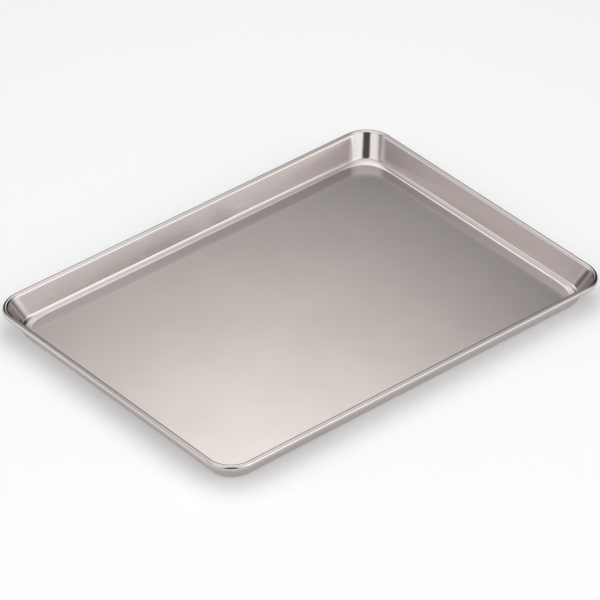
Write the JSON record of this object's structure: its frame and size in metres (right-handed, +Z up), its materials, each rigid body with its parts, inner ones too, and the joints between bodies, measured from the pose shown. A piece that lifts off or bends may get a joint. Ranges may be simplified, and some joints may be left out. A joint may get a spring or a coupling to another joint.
{
  "type": "jelly roll pan",
  "caption": "Shallow rectangular steel baking pan with rounded corners, outward-leaning walls and an edge rolled round a wire.",
  "frame": {"origin": "middle of the flat underside, on the surface the pan stands on", "axes": "+X along the pan's length, +Y across its width, +Z up out of the open top"},
  "size_m": [0.45, 0.33, 0.0254],
  "materials": {
    "steel_sheet": "bright rolled stainless steel sheet with a fine satin grain",
    "steel_wire": "plain drawn steel wire, dull"
  },
  "bodies": {
    "root": {"pan_shell": "steel_sheet", "rim_wire": "steel_wire"}
  },
  "joints": []
}
